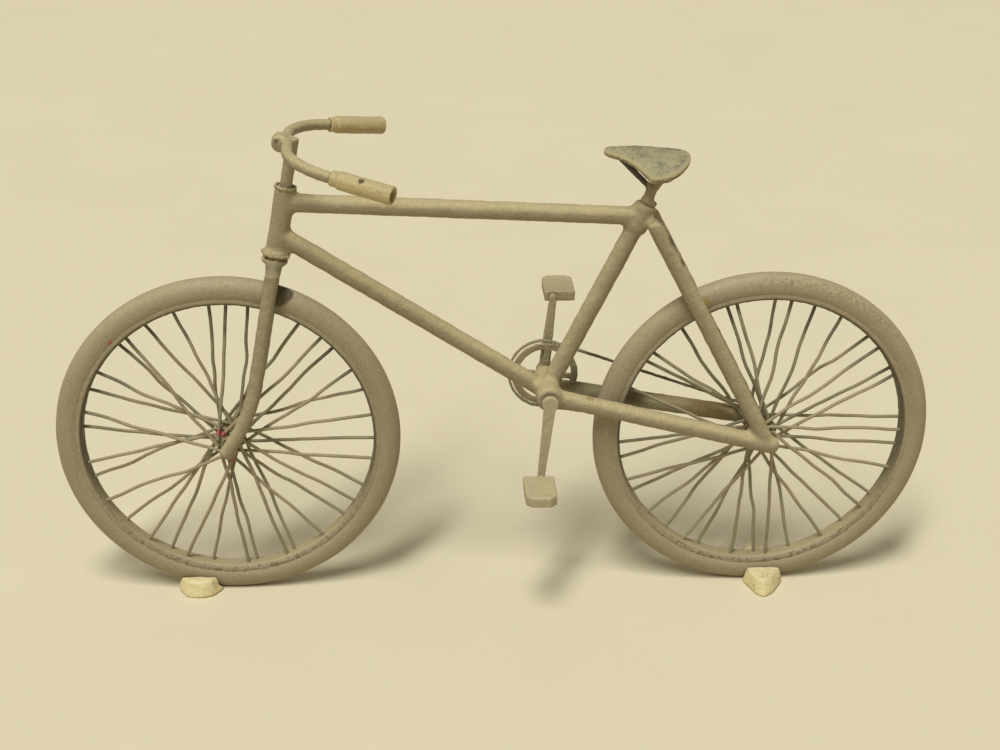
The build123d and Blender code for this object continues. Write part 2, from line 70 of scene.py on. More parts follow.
def plain_mesh(thing):
    """The evaluated object as a plain mesh; the object itself is removed."""
    shown = thing.evaluated_get(bpy.context.evaluated_depsgraph_get())
    mesh = bpy.data.meshes.new_from_object(shown)
    bpy.data.objects.remove(thing)
    return mesh


def placed(name, mesh, material):
    """A finished piece in the scene, smooth, with one material."""
    piece = bpy.data.objects.new(name, mesh)
    scene.collection.objects.link(piece)
    mesh.name = name
    mesh.materials.clear()
    mesh.materials.append(material)
    mesh.polygons.foreach_set("use_smooth", [True] * len(mesh.polygons))
    return piece


def points_of(mesh):
    flat = np.zeros(len(mesh.vertices) * 3)
    mesh.vertices.foreach_get("co", flat)
    return flat.reshape(-1, 3)


def normals_of(mesh):
    flat = np.zeros(len(mesh.vertices) * 3)
    mesh.vertices.foreach_get("normal", flat)
    return flat.reshape(-1, 3)


def relaxed(points, edges, rounds):
    """Points drawn towards their neighbours, as paint levels over an edge."""
    a, b = edges.T
    count = np.bincount(edges.ravel(), minlength=len(points))[:, None]
    for _ in range(rounds):
        total = np.stack([
            np.bincount(a, points[b, axis], len(points)) + np.bincount(b, points[a, axis], len(points))
            for axis in range(3)
        ], axis=1)
        points = points + 0.5 * (total / count - points)
    return points


def brush_lines(points, nodes):
    """For each point, its place along and across the CAD node it belongs to."""
    best = np.full(len(points), np.inf)
    lines = np.zeros((len(points), 3))
    for node in nodes:
        own = points_of(frame["nodes"][node].data) / MM
        middle = own.mean(axis=0)
        _, _, axes = np.linalg.svd(own - middle, full_matrices=False)
        local = (points - middle) @ axes.T
        reach = np.abs((own - middle) @ axes[0]).max()
        beyond = np.maximum(np.abs(local[:, 0]) - reach, 0)
        distance = np.hypot(np.hypot(local[:, 1], local[:, 2]), beyond)
        nearer = distance < best
        best[nearer] = distance[nearer]
        lines[nearer] = local[nearer]
    return lines


def edges_of(mesh):
    flat = np.zeros(len(mesh.edges) * 2, dtype=np.int32)
    mesh.edges.foreach_get("vertices", flat)
    return flat.reshape(-1, 2)


def moved(mesh, points):
    mesh.vertices.foreach_set("co", points.ravel())
    mesh.update()


def voxelled(name, mesh, voxel):
    """A mesh turned to one closed skin of even faces."""
    cast = bpy.data.objects.new(name, mesh)
    scene.collection.objects.link(cast)
    skin = cast.modifiers.new("skin", "REMESH")
    skin.mode = "VOXEL"
    skin.voxel_size = voxel
    return plain_mesh(cast)


def coated(name, nodes, material, voxel, rounds, fill, lump, lump_size, runs=()):
    """CAD nodes under one skin of paint: corners filled, levelled, lumpy.

    Runs are extra beads of paint, each with a start, an end and a radius. All
    sizes are in millimetres.
    """
    drops_in_run = 8
    solid = bmesh.new()
    for node in nodes:
        solid.from_mesh(frame["nodes"][node].data)
    for start, end, radius in runs:
        for share in np.linspace(0, 1, drops_in_run):
            drop = Matrix.Translation(Vector(start).lerp(Vector(end), share) * MM)
            bmesh.ops.create_uvsphere(
                solid, u_segments=24, v_segments=12, radius=radius * MM, matrix=drop)
    bmesh.ops.remove_doubles(solid, verts=solid.verts, dist=1e-6)
    bmesh.ops.scale(solid, vec=(1 / MM,) * 3, verts=solid.verts)
    mesh = bpy.data.meshes.new(name)
    solid.to_mesh(mesh)
    solid.free()
    mesh = voxelled(name, mesh, voxel)
    if fill:
        moved(mesh, relaxed(points_of(mesh), edges_of(mesh), 2))
        moved(mesh, points_of(mesh) + fill * normals_of(mesh))
        mesh = voxelled(name, mesh, voxel)
        moved(mesh, relaxed(points_of(mesh), edges_of(mesh), 2))
        moved(mesh, points_of(mesh) - fill * normals_of(mesh))
    moved(mesh, relaxed(points_of(mesh), edges_of(mesh), rounds))
    points = points_of(mesh)
    swell = np.array([noise.fractal(Vector(p) / lump_size, 0.8, 2.0, 3) for p in points])
    points = points + normals_of(mesh) * (swell * lump)[:, None]
    points = np.clip(points, np.array(cad_box[0]) / MM, np.array(cad_box[1]) / MM)
    brush = mesh.attributes.new("brush", "FLOAT_VECTOR", "POINT")
    brush.data.foreach_set("vector", brush_lines(points, nodes).ravel().astype(np.float32))
    moved(mesh, points * MM)
    piece = placed(name, mesh, material)
    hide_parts(*nodes)
    return piece


def wire_up(tree, source, target):
    tree.links.new(source, target)


def feed(tree, socket, value):
    """Sets a socket to a number or a colour, or links it to another socket."""
    if isinstance(value, bpy.types.NodeSocket):
        tree.links.new(value, socket)
    else:
        socket.default_value = value


def maths(tree, operation, first, second=0.0):
    step = tree.nodes.new("ShaderNodeMath")
    step.operation = operation
    feed(tree, step.inputs[0], first)
    feed(tree, step.inputs[1], second)
    return step.outputs[0]


def vectors(tree, operation, first, second=(0, 0, 0)):
    step = tree.nodes.new("ShaderNodeVectorMath")
    step.operation = operation
    feed(tree, step.inputs[0], first)
    slot = step.inputs["Scale"] if operation == "SCALE" else step.inputs[1]
    feed(tree, slot, second)
    gives_number = operation in ("DISTANCE", "DOT_PRODUCT", "LENGTH")
    return step.outputs["Value" if gives_number else "Vector"]


def axes_of(tree, vector):
    step = tree.nodes.new("ShaderNodeSeparateXYZ")
    wire_up(tree, vector, step.inputs[0])
    return step.outputs


def own_place(tree):
    return tree.nodes.new("ShaderNodeTexCoord").outputs["Object"]


def own_attribute(tree, name):
    step = tree.nodes.new("ShaderNodeAttribute")
    step.attribute_name = name
    return step.outputs


def spread(tree, value, low, high, to_low=0.0, to_high=1.0):
    """A value eased from one range to another and held at its ends."""
    step = tree.nodes.new("ShaderNodeMapRange")
    step.interpolation_type = "SMOOTHSTEP"
    for socket, number in zip(step.inputs[:5], (value, low, high, to_low, to_high)):
        feed(tree, socket, number)
    return step.outputs[0]


def mottle(tree, vector, size, detail=3.0, rough=0.6):
    """Cloudy noise with spots of about that size in millimetres."""
    step = tree.nodes.new("ShaderNodeTexNoise")
    feed(tree, step.inputs["Vector"], vector)
    step.inputs["Scale"].default_value = 1 / (size * MM)
    step.inputs["Detail"].default_value = detail
    step.inputs["Roughness"].default_value = rough
    return step.outputs["Fac"]


def mixed(tree, share, first, second, how="MIX"):
    step = tree.nodes.new("ShaderNodeMix")
    step.data_type = "RGBA"
    step.blend_type = how
    feed(tree, step.inputs["Factor"], share)
    feed(tree, step.inputs["A"], first)
    feed(tree, step.inputs["B"], second)
    return step.outputs["Result"]


def brushed_coat_group():
    """Thick hand-brushed paint: streaks, cloudy tone, painted top light on faces turned up, and pits."""
    group = bpy.data.node_groups.new("brushed_coat", "ShaderNodeTree")
    sockets = [
        ("Coat", "INPUT", "NodeSocketColor"),
        ("Thin", "INPUT", "NodeSocketColor"),
        ("Top Light", "INPUT", "NodeSocketColor"),
        ("Top Light Share", "INPUT", "NodeSocketFloat"),
        ("Color", "OUTPUT", "NodeSocketColor"),
        ("Roughness", "OUTPUT", "NodeSocketFloat"),
        ("Height", "OUTPUT", "NodeSocketFloat"),
    ]
    for name, way, kind in sockets:
        group.interface.new_socket(name, in_out=way, socket_type=kind)
    given = group.nodes.new("NodeGroupInput")
    result = group.nodes.new("NodeGroupOutput")
    coords = group.nodes.new("ShaderNodeTexCoord").outputs
    place = coords["Object"]
    stroke = group.nodes.new("ShaderNodeMapping")
    wire_up(group, own_attribute(group, "brush")["Vector"], stroke.inputs["Vector"])
    stroke.inputs["Scale"].default_value = (0.12 * MM, 1.6 * MM, 1.6 * MM)
    bristles = mottle(group, stroke.outputs["Vector"], 1.0, 4.0)
    cloud = mottle(group, place, 5.0, 4.0)
    grain = mottle(group, place, 0.35, 2.0, 0.7)
    thin = maths(
        group, "ADD", maths(group, "MULTIPLY", bristles, 0.55), maths(group, "MULTIPLY", cloud, 0.45))
    color = mixed(group, spread(group, thin, 0.38, 0.66), given.outputs["Thin"], given.outputs["Coat"])
    # Faces turned up get a lighter tone: painted top light, standing in for the lamp overhead.
    upward = spread(group, axes_of(group, coords["Normal"])["Z"], -0.1, 0.75)
    patch = spread(group, mottle(group, place, 3.2, 5.0, 0.7), 0.4, 0.64, 0.85, 1.0)
    lit_from_above = maths(group, "MULTIPLY", upward, patch)
    top_light = maths(group, "MULTIPLY", lit_from_above, given.outputs["Top Light Share"])
    color = mixed(group, top_light, color, given.outputs["Top Light"])
    speckle = spread(group, grain, 0.3, 0.7, 0.87, 1.11)
    color = mixed(group, 1.0, color, speckle, "MULTIPLY")
    pits = spread(group, mottle(group, place, 0.9, 3.0, 0.75), 0.7, 0.78)
    color = mixed(group, maths(group, "MULTIPLY", pits, 0.4), color, tone(78, 70, 50))
    wire_up(group, color, result.inputs["Color"])
    wire_up(group, spread(group, cloud, 0.3, 0.7, 0.5, 0.72), result.inputs["Roughness"])
    body = maths(
        group, "ADD", maths(group, "MULTIPLY", bristles, 0.45), maths(group, "MULTIPLY", grain, 0.55))
    height = maths(group, "SUBTRACT", body, maths(group, "MULTIPLY", pits, 0.5))
    wire_up(group, height, result.inputs["Height"])
    return group


brushed_coat = brushed_coat_group()


def coat_material(name, coat, thin, top_light, top_light_share, depth):
    """Paint of one tone, with painted top light on faces turned up; depth is the height of its brush
    marks in millimetres.
    """
    material = bpy.data.materials.new(name)
    material.use_nodes = True
    tree = material.node_tree
    shader = tree.nodes["Principled BSDF"]
    layer = tree.nodes.new("ShaderNodeGroup")
    layer.node_tree = brushed_coat
    layer.inputs["Coat"].default_value = coat
    layer.inputs["Thin"].default_value = thin
    layer.inputs["Top Light"].default_value = top_light
    layer.inputs["Top Light Share"].default_value = top_light_share
    bump = tree.nodes.new("ShaderNodeBump")
    bump.inputs["Distance"].default_value = depth * MM
    wire_up(tree, layer.outputs["Color"], shader.inputs["Base Color"])
    wire_up(tree, layer.outputs["Roughness"], shader.inputs["Roughness"])
    wire_up(tree, layer.outputs["Height"], bump.inputs["Height"])
    wire_up(tree, bump.outputs["Normal"], shader.inputs["Normal"])
    shader.inputs["Specular IOR Level"].default_value = 0.35
    return material


def over(material, share, color):
    """Lays one more tone on a paint, by a share from 0 to 1."""
    tree = material.node_tree
    socket = tree.nodes["Principled BSDF"].inputs["Base Color"]
    wire_up(tree, mixed(tree, share, socket.links[0].from_socket, color), socket)


def streak(material, start, end, size, color, soft=0.0):
    """A ragged smear on a paint from start to end, in millimetres.

    Its edge fades over a wider band as soft rises from 0 to 1.
    """
    tree = material.node_tree
    place = own_place(tree)
    run = (Vector(end) - Vector(start)) * MM
    begun = vectors(tree, "SUBTRACT", place, Vector(start) * MM)
    no_length = 1e-12
    ahead = vectors(tree, "DOT_PRODUCT", begun, run / max(run.length_squared, no_length))
    nearest = vectors(tree, "MULTIPLY", spread(tree, ahead, 0.0, 1.0), run)
    away = vectors(tree, "DISTANCE", begun, nearest)
    uneven = maths(tree, "MULTIPLY", mottle(tree, place, size), size * MM)
    ragged = maths(tree, "ADD", away, uneven)
    near, far = (1.3 - soft) * size * MM, (1.6 + soft) * size * MM
    over(material, spread(tree, ragged, near, far, 1.0 - 0.3 * soft, 0.0), color)


def spot(material, centre, size, color):
    """A ragged patch at one place: a chip, a stain, or a painted shadow."""
    streak(material, centre, centre, size, color)


KHAKI = tone(148, 137, 108)
KHAKI_THIN = tone(140, 129, 101)
# Painted top light: the lighter khaki laid on faces turned up.
PAINTED_TOP_LIGHT = tone(196, 181, 132)
RED = tone(172, 92, 92)
khaki_paint = coat_material(
    "khaki_paint", coat=KHAKI, thin=KHAKI_THIN, top_light=PAINTED_TOP_LIGHT,
    top_light_share=0.75, depth=0.09,
)
# Painted shade: a dark tone laid where shade or a cast shadow falls.
PAINTED_SHADE = tone(90, 79, 58)
RUST = tone(158, 134, 84)
# Each smear has a start, an end, a size, a tone and the softness of its edge.
# The two dark smears are painted shade: a dark line down the near seatstay where the far seatstay lies in
# shade behind it, and a painted shadow on the far chainstay's front. The two rust smears are stains.
FRAME_SHADE_AND_STAINS = [
    ((-31.2, 4.1, 82.6), (-36.0, 4.6, 74.0), 0.9, PAINTED_SHADE, 0.3),
    ((-17.0, -3.0, 43.8), (-28.0, -3.4, 41.6), 2.6, PAINTED_SHADE, 0.9),
    ((-42.5, -4.6, 39.0), (-47.5, -4.9, 37.8), 2.6, RUST, 0.9),
    ((-18.3, 5.1, 45.1), (-18.7, 5.1, 45.1), 0.7, RUST, 0.4),
]
for start, end, size, color, soft in FRAME_SHADE_AND_STAINS:
    streak(khaki_paint, start, end, size, color, soft)
frame_tubes = coated(
    "frame_tubes",
    ["head_tube", "top_tube", "down_tube", "seat_tube", "bottom_bracket",
     "chainstay_left", "chainstay_right", "seatstay_left", "seatstay_right"],
    khaki_paint, voxel=0.3, rounds=3, fill=0.35, lump=0.08, lump_size=2.2,
)
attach(frame_tubes, "frame")

# Wheels. A soft round tyre is pressed on a shallow rim, with a crust of dried
# paint along the seam. Thirty-six soft wires lace the rim to a flanged hub.
joint_places = {joint["name"]: Vector(joint["pos_m"]) / MM for joint in frame["joints"]}
TYRE_R = 35.0
TYRE_HALF_DEPTH = 2.75
TYRE_HALF_W = 2.3
TYRE_SHOULDER_R = TYRE_R - 1.3
RIM_SEAT_R = 30.5
SPOKE_ROWS = 4
SPOKE_GROUPS = 9
WIRE_STEPS = 18
WIRE_SIDES = 8
WIRE_STRAY = 0.055


def new_tree(name, inputs):
    """A Geometry Nodes tree with named inputs; gives the tree and its ends."""
    tree = bpy.data.node_groups.new(name, "GeometryNodeTree")
    for label, kind in inputs:
        tree.interface.new_socket(label, in_out="INPUT", socket_type=kind)
    tree.interface.new_socket("Geometry", in_out="OUTPUT", socket_type="NodeSocketGeometry")
    return tree, tree.nodes.new("NodeGroupInput").outputs, tree.nodes.new("NodeGroupOutput").inputs


def grown(name, tree, values):
    """The plain mesh that a tree gives for a set of input values."""
    carrier = bpy.data.objects.new(name, bpy.data.meshes.new(name))
    scene.collection.objects.link(carrier)
    growth = carrier.modifiers.new(name, "NODES")
    growth.node_group = tree
    for item in tree.interface.items_tree:
        if item.in_out == "INPUT":
            growth[item.identifier] = values[item.name]
    carrier.update_tag()
    return plain_mesh(carrier)


def joined_xyz(tree, x, y, z):
    step = tree.nodes.new("ShaderNodeCombineXYZ")
    for socket, value in zip(step.inputs, (x, y, z)):
        feed(tree, socket, value)
    return step.outputs[0]


def finished(tree, geometry, given, result):
    """Closes a tree: real geometry, with its material."""
    real = tree.nodes.new("GeometryNodeRealizeInstances")
    coat = tree.nodes.new("GeometryNodeSetMaterial")
    wire_up(tree, geometry, real.inputs["Geometry"])
    wire_up(tree, real.outputs["Geometry"], coat.inputs["Geometry"])
    wire_up(tree, given["Material"], coat.inputs["Material"])
    wire_up(tree, coat.outputs["Geometry"], result["Geometry"])


def ring_tree():
    """A ring of oval section with a lumpy skin: a tyre, or a bead of paint."""
    tree, given, result = new_tree("lumpy_ring", [
        ("Ring Radius", "NodeSocketFloat"),
        ("Section Depth", "NodeSocketFloat"),
        ("Section Width", "NodeSocketFloat"),
        ("Steps Round", "NodeSocketInt"),
        ("Steps Across", "NodeSocketInt"),
        ("Lump", "NodeSocketFloat"),
        ("Lump Size", "NodeSocketFloat"),
        ("Seed", "NodeSocketFloat"),
        ("Centre", "NodeSocketVector"),
        ("Rotation", "NodeSocketVector"),
        ("Material", "NodeSocketMaterial"),
    ])
    ring = tree.nodes.new("GeometryNodeCurvePrimitiveCircle")
    wire_up(tree, given["Ring Radius"], ring.inputs["Radius"])
    wire_up(tree, given["Steps Round"], ring.inputs["Resolution"])
    section = tree.nodes.new("GeometryNodeCurvePrimitiveCircle")
    section.inputs["Radius"].default_value = 1.0
    wire_up(tree, given["Steps Across"], section.inputs["Resolution"])
    oval = tree.nodes.new("GeometryNodeTransform")
    wire_up(tree, section.outputs["Curve"], oval.inputs["Geometry"])
    oval_size = joined_xyz(tree, given["Section Depth"], given["Section Width"], 1.0)
    wire_up(tree, oval_size, oval.inputs["Scale"])
    body = tree.nodes.new("GeometryNodeCurveToMesh")
    wire_up(tree, ring.outputs["Curve"], body.inputs["Curve"])
    wire_up(tree, oval.outputs["Geometry"], body.inputs["Profile Curve"])
    where = tree.nodes.new("GeometryNodeInputPosition").outputs["Position"]
    outward = tree.nodes.new("GeometryNodeInputNormal").outputs["Normal"]
    cloud = tree.nodes.new("ShaderNodeTexNoise")
    cloud.noise_dimensions = "4D"
    wire_up(tree, where, cloud.inputs["Vector"])
    wire_up(tree, given["Seed"], cloud.inputs["W"])
    wire_up(tree, maths(tree, "DIVIDE", 1.0, given["Lump Size"]), cloud.inputs["Scale"])
    swell = maths(tree, "MULTIPLY", maths(tree, "SUBTRACT", cloud.outputs["Fac"], 0.5), given["Lump"])
    lumpy = tree.nodes.new("GeometryNodeSetPosition")
    wire_up(tree, body.outputs["Mesh"], lumpy.inputs["Geometry"])
    wire_up(tree, vectors(tree, "SCALE", outward, swell), lumpy.inputs["Offset"])
    stood = tree.nodes.new("GeometryNodeTransform")
    wire_up(tree, lumpy.outputs["Geometry"], stood.inputs["Geometry"])
    wire_up(tree, given["Centre"], stood.inputs["Translation"])
    wire_up(tree, given["Rotation"], stood.inputs["Rotation"])
    finished(tree, stood.outputs["Geometry"], given, result)
    return tree


lumpy_ring = ring_tree()


def ring_brush_lines(mesh, centre):
    """Paint strokes that run round a wheel, with their ends at its foot."""
    offset = points_of(mesh) / MM - np.array(centre)
    turn = np.arctan2(offset[:, 0], -offset[:, 2])
    radius = np.hypot(offset[:, 0], offset[:, 2])
    lines = np.stack([turn * TYRE_R, radius, offset[:, 1]], axis=1)
    brush = mesh.attributes.new("brush", "FLOAT_VECTOR", "POINT")
    brush.data.foreach_set("vector", lines.ravel().astype(np.float32))


def spoke_tree():
    """Laced wires from a hub to a rim, in groups of four, each a little bent."""
    tree, given, result = new_tree("laced_spokes", [
        ("Groups", "NodeSocketInt"),
        ("First Angle", "NodeSocketFloat"),
        ("Angle Step", "NodeSocketFloat"),
        ("Lean", "NodeSocketFloat"),
        ("Hub Radius", "NodeSocketFloat"),
        ("Hub Half Width", "NodeSocketFloat"),
        ("Crossing Gap", "NodeSocketFloat"),
        ("Rim Radius", "NodeSocketFloat"),
        ("Rim Half Width", "NodeSocketFloat"),
        ("Wire Radius", "NodeSocketFloat"),
        ("Bend", "NodeSocketFloat"),
        ("Seed", "NodeSocketInt"),
        ("Centre", "NodeSocketVector"),
        ("Material", "NodeSocketMaterial"),
    ])
    starts = tree.nodes.new("GeometryNodePoints")
    wire_up(tree, maths(tree, "MULTIPLY", given["Groups"], SPOKE_ROWS), starts.inputs["Count"])
    straight = tree.nodes.new("GeometryNodeCurvePrimitiveLine")
    many = tree.nodes.new("GeometryNodeInstanceOnPoints")
    wire_up(tree, starts.outputs["Geometry"], many.inputs["Points"])
    wire_up(tree, straight.outputs["Curve"], many.inputs["Instance"])
    apart = tree.nodes.new("GeometryNodeRealizeInstances")
    wire_up(tree, many.outputs["Instances"], apart.inputs["Geometry"])
    fine = tree.nodes.new("GeometryNodeResampleCurve")
    wire_up(tree, apart.outputs["Geometry"], fine.inputs["Curve"])
    fine.inputs["Count"].default_value = WIRE_STEPS
    number = tree.nodes.new("GeometryNodeCurveOfPoint").outputs["Curve Index"]
    along = tree.nodes.new("GeometryNodeSplineParameter").outputs["Factor"]

    row = maths(tree, "MODULO", number, SPOKE_ROWS)
    group = maths(tree, "FLOOR", maths(tree, "DIVIDE", number, SPOKE_ROWS))
    side = maths(tree, "SUBTRACT", maths(tree, "MULTIPLY", maths(tree, "MODULO", number, 2), 2), 1)
    late_row = maths(tree, "FLOOR", maths(tree, "DIVIDE", row, 2))
    way = maths(tree, "SUBTRACT", 1, maths(tree, "MULTIPLY", late_row, 2))
    chance = tree.nodes.new("FunctionNodeRandomValue")
    chance.data_type = "FLOAT"
    feed(tree, chance.inputs["Min"], -WIRE_STRAY)
    feed(tree, chance.inputs["Max"], WIRE_STRAY)
    wire_up(tree, number, chance.inputs["ID"])
    wire_up(tree, given["Seed"], chance.inputs["Seed"])
    turn = maths(tree, "MULTIPLY", maths(tree, "DIVIDE", group, given["Groups"]), 2 * math.pi)
    rim_angle = maths(tree, "ADD", maths(tree, "ADD", given["First Angle"], turn),
                      maths(tree, "MULTIPLY", row, given["Angle Step"]))
    rim_angle = maths(tree, "ADD", rim_angle, chance.outputs["Value"])
    hub_angle = maths(tree, "SUBTRACT", rim_angle, maths(tree, "MULTIPLY", way, given["Lean"]))
    hub_y = maths(tree, "MULTIPLY", side, maths(tree, "ADD", given["Hub Half Width"],
                                              maths(tree, "MULTIPLY", way, given["Crossing Gap"])))
    rim_y = maths(tree, "MULTIPLY", side, given["Rim Half Width"])

    def around(radius, angle, y):
        return joined_xyz(tree, maths(tree, "MULTIPLY", radius, maths(tree, "COSINE", angle)), y,
                          maths(tree, "MULTIPLY", radius, maths(tree, "SINE", angle)))

    root = around(given["Hub Radius"], hub_angle, hub_y)
    tip = around(given["Rim Radius"], rim_angle, rim_y)
    gone = vectors(tree, "SCALE", vectors(tree, "SUBTRACT", tip, root), along)
    line = vectors(tree, "ADD", root, gone)
    sway = tree.nodes.new("ShaderNodeTexNoise")
    sway.inputs["Scale"].default_value = 1.0
    sway.inputs["Detail"].default_value = 1.5
    wire_up(tree, joined_xyz(tree, maths(tree, "MULTIPLY", along, 2.6),
                             maths(tree, "MULTIPLY", number, 5.17), given["Seed"]), sway.inputs["Vector"])
    bow = maths(tree, "SINE", maths(tree, "MULTIPLY", along, math.pi))
    slack = maths(tree, "MULTIPLY", bow, given["Bend"])
    swayed = vectors(tree, "SUBTRACT", sway.outputs["Color"], (0.5, 0.5, 0.5))
    bent = vectors(tree, "SCALE", swayed, slack)
    bent = vectors(tree, "MULTIPLY", bent, (1.0, 0.3, 1.0))
    laid = tree.nodes.new("GeometryNodeSetPosition")
    wire_up(tree, fine.outputs["Curve"], laid.inputs["Geometry"])
    course = vectors(tree, "ADD", vectors(tree, "ADD", line, bent), given["Centre"])
    wire_up(tree, course, laid.inputs["Position"])
    marked = tree.nodes.new("GeometryNodeStoreNamedAttribute")
    marked.inputs["Name"].default_value = "reach"
    wire_up(tree, laid.outputs["Geometry"], marked.inputs["Geometry"])
    wire_up(tree, along, marked.inputs["Value"])
    section = tree.nodes.new("GeometryNodeCurvePrimitiveCircle")
    section.inputs["Resolution"].default_value = WIRE_SIDES
    wire_up(tree, given["Wire Radius"], section.inputs["Radius"])
    wires = tree.nodes.new("GeometryNodeCurveToMesh")
    wires.inputs["Fill Caps"].default_value = True
    wire_up(tree, marked.outputs["Geometry"], wires.inputs["Curve"])
    wire_up(tree, section.outputs["Curve"], wires.inputs["Profile Curve"])
    finished(tree, wires.outputs["Mesh"], given, result)
    return tree


laced_spokes = spoke_tree()

wire_paint = coat_material(
    "wire_paint", coat=tone(160, 149, 118), thin=tone(138, 128, 101), top_light=tone(172, 159, 120),
    top_light_share=0.5, depth=0.03,
)
wire_tree = wire_paint.node_tree
wire_place = own_place(wire_tree)
reach = own_attribute(wire_tree, "reach")["Fac"]
rubbed = maths(wire_tree, "ADD", reach, mottle(wire_tree, wire_place, 6.0))
rubbed = spread(wire_tree, rubbed, 1.2, 1.5, 0.0, 0.8)
high = spread(wire_tree, axes_of(wire_tree, wire_place)["Z"], 30 * MM, 54 * MM, 0.15, 1.0)
BARE_WIRE = tone(80, 76, 66)
over(wire_paint, maths(wire_tree, "MULTIPLY", rubbed, high), BARE_WIRE)
for place, size in (((56.2, 3.2, 37.4), 1.0), ((54.5, 3.0, 31.2), 0.6), ((59.0, 3.0, 33.1), 0.5)):
    spot(wire_paint, place, size, RED)

tyre_paint = coat_material(
    "tyre_paint", coat=tone(153, 141, 113), thin=tone(147, 135, 107), top_light=tone(176, 163, 124),
    top_light_share=0.7, depth=0.09,
)
tyre_tree = tyre_paint.node_tree
tyre_place = own_place(tyre_tree)
tyre_radius = axes_of(tyre_tree, own_attribute(tyre_tree, "brush")["Vector"])["Y"]
off_shoulder = maths(tyre_tree, "ABSOLUTE", maths(tyre_tree, "SUBTRACT", tyre_radius, TYRE_SHOULDER_R))
CRUST_MIDDLE = Vector((-68, 2, 63)) * MM
off_crust = vectors(tyre_tree, "DISTANCE", tyre_place, CRUST_MIDDLE)
crusted = maths(
    tyre_tree, "MULTIPLY",
    spread(tyre_tree, off_shoulder, 0.4, 1.0, 1.0, 0.0),
    spread(tyre_tree, off_crust, 12 * MM, 20 * MM, 1.0, 0.15),
)
rough = mottle(tyre_tree, tyre_place, 0.8, 5.0, 0.85)
pale = spread(tyre_tree, rough, 0.52, 0.62, 0.0, 0.6)
dark = spread(tyre_tree, rough, 0.38, 0.48, 0.75, 0.0)
over(tyre_paint, maths(tyre_tree, "MULTIPLY", crusted, pale), tone(184, 170, 126))
over(tyre_paint, maths(tyre_tree, "MULTIPLY", crusted, dark), tone(112, 100, 70))
# The two dark spots beside the fork blade are the blade's painted shadow on the tyre.
for place, size in (((42.5, 1.6, 66.8), 2.0), ((43.7, 2.2, 65.8), 1.5)):
    spot(tyre_paint, place, size, PAINTED_SHADE)
spot(tyre_paint, (-41.1, 2.2, 64.5), 1.2, RUST)
spot(tyre_paint, (76.7, 2.0, 56.9), 0.6, RED)

rim_paint = coat_material(
    "rim_paint", coat=tone(152, 140, 110), thin=tone(144, 132, 102), top_light=tone(178, 163, 120),
    top_light_share=0.7, depth=0.07,
)
rim_tree = rim_paint.node_tree
rim_flat = vectors(rim_tree, "MULTIPLY", own_attribute(rim_tree, "brush")["Vector"], (1, 1, 0))
rim_radius = vectors(rim_tree, "LENGTH", rim_flat)
rim_height = axes_of(rim_tree, own_place(rim_tree))["Z"]
inner_edge = spread(rim_tree, rim_radius, RIM_SEAT_R - 0.75, RIM_SEAT_R - 0.4, 0.85, 0.0)
inner_edge = maths(rim_tree, "MULTIPLY", inner_edge, spread(rim_tree, rim_height, 12 * MM, 34 * MM))
RIM_SHADE = tone(84, 75, 55)
over(rim_paint, inner_edge, RIM_SHADE)
crust_paint = coat_material(
    "crust_paint", coat=tone(153, 141, 113), thin=tone(147, 135, 107), top_light=tone(162, 149, 116),
    top_light_share=0.3, depth=0.08,
)
crust_tree = crust_paint.node_tree
crust_place = own_place(crust_tree)
crust_height = axes_of(crust_tree, crust_place)["Z"]
low = spread(crust_tree, crust_height, 8 * MM, 26 * MM, 1.0, 0.15)
grime = spread(crust_tree, mottle(crust_tree, crust_place, 0.9, 5.0, 0.8), 0.5, 0.6, 0.0, 0.8)
over(crust_paint, maths(crust_tree, "MULTIPLY", grime, low), tone(92, 82, 56))
# The crust's inner edge on the upper half of the wheel is darkened: painted shade, as on the rim.
crust_radius = axes_of(crust_tree, own_attribute(crust_tree, "brush")["Vector"])["Y"]
inner_edge_shade = spread(crust_tree, crust_radius, RIM_SEAT_R - 0.65, RIM_SEAT_R - 0.3, 0.85, 0.0)
inner_edge_shade = maths(crust_tree, "MULTIPLY", inner_edge_shade, spread(crust_tree, crust_height, 14 * MM, 36 * MM))
over(crust_paint, inner_edge_shade, RIM_SHADE)
hub_paint = coat_material(
    "hub_paint", coat=tone(150, 138, 106), thin=tone(96, 88, 68), top_light=PAINTED_TOP_LIGHT,
    top_light_share=0.4, depth=0.1,
)
spot(hub_paint, (56.0, 3.0, 37.1), 0.9, RED)
spot(hub_paint, (54.5, 3.0, 32.6), 0.5, RED)
WHEELS = [
    {"name": "front", "first": 2.5, "hub": ["front_hub"], "seed": 3},
    {"name": "rear", "first": 12.5, "hub": ["rear_hub", "rear_sprocket"], "seed": 8},
]
